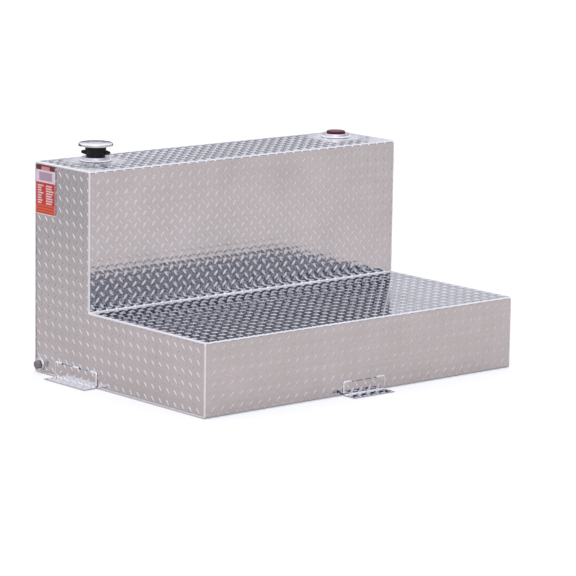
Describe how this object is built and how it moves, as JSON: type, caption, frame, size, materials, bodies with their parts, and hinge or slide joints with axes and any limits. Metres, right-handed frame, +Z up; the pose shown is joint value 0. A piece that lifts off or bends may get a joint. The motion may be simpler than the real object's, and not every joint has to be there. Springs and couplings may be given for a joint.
{
  "type": "truck bed transfer tank",
  "caption": "L-shaped aluminium tread plate fuel tank for a truck bed, with a capped filler neck, a plugged pump bung, a drain plug and angle brackets.",
  "frame": {"origin": "centre of the bounding box on the plane that the tank rests on", "axes": "+X along the tank's length, +Z up; the low deck lies towards -Y and the upright part towards +Y, so the filler cap is at -X"},
  "size_m": [1.313, 0.8771, 0.7071],
  "materials": {
    "tread_plate": "bright rolled tread plate",
    "weld": "bright weld metal",
    "sheet": "mill finish",
    "turned_aluminium": "turned",
    "chrome": "polished",
    "black_plastic": "moulded",
    "black_rubber": "moulded",
    "red_plastic": "moulded",
    "dark_iron": "dull",
    "label_film": "printed film"
  },
  "bodies": {
    "tank": {"wrap_sheet": "tread_plate", "back_plate": "tread_plate", "left_end_plate": "tread_plate", "right_end_plate": "tread_plate", "left_end_weld": "weld", "right_end_weld": "weld", "rear_top_weld": "weld", "rear_bottom_weld": "weld", "baffle_1": "sheet", "baffle_2": "sheet", "left_bracket": "tread_plate", "left_bracket_weld_1": "weld", "left_bracket_weld_2": "weld", "left_bracket_weld_3": "weld", "right_bracket": "tread_plate", "right_bracket_weld_1": "weld", "right_bracket_weld_2": "weld", "right_bracket_weld_3": "weld", "front_bracket": "tread_plate", "front_bracket_weld_1": "weld", "front_bracket_weld_2": "weld", "filler_bung": "turned_aluminium", "filler_bung_weld": "weld", "filler_neck": "black_plastic", "pump_bung": "turned_aluminium", "pump_bung_weld": "weld", "drain_bung": "turned_aluminium", "drain_bung_weld": "weld", "end_label": "label_film"},
    "cap_seal_ring": {"cap_gasket": "black_rubber"},
    "cap": {"cap_dish": "chrome", "cap_plug": "black_plastic", "filler_cap": "chrome"},
    "pump_seal_ring": {"pump_plug_seal": "black_rubber"},
    "pump_plug_body": {"pump_plug": "red_plastic"},
    "drain_washer": {"drain_plug_seal": "black_rubber"},
    "drain_plug_body": {"drain_plug": "dark_iron"}
  },
  "joints": [
    {"name": "cap_lift", "type": "slide", "parent": "tank", "child": "cap_seal_ring", "axis": [0, 0, 1], "range_m": [0, 0.1]},
    {"name": "cap_turn", "type": "hinge", "parent": "cap_seal_ring", "child": "cap", "pos_m": [-0.4535, 0.3397, 0.695], "axis": [0, 0, 1], "range_deg": [0, 720]},
    {"name": "pump_plug_lift", "type": "slide", "parent": "tank", "child": "pump_seal_ring", "axis": [0, 0, 1], "range_m": [0, 0.08]},
    {"name": "pump_plug_turn", "type": "hinge", "parent": "pump_seal_ring", "child": "pump_plug_body", "pos_m": [0.508, 0.3327, 0.665], "axis": [0, 0, 1], "range_deg": [0, 1080]},
    {"name": "drain_plug_pull", "type": "slide", "parent": "tank", "child": "drain_washer", "axis": [-1, 0, 0], "range_m": [0, 0.05]},
    {"name": "drain_plug_turn", "type": "hinge", "parent": "drain_washer", "child": "drain_plug_body", "pos_m": [-0.6095, 0.4057, 0.0285], "axis": [-1, 0, 0], "range_deg": [0, 1800]}
  ]
}
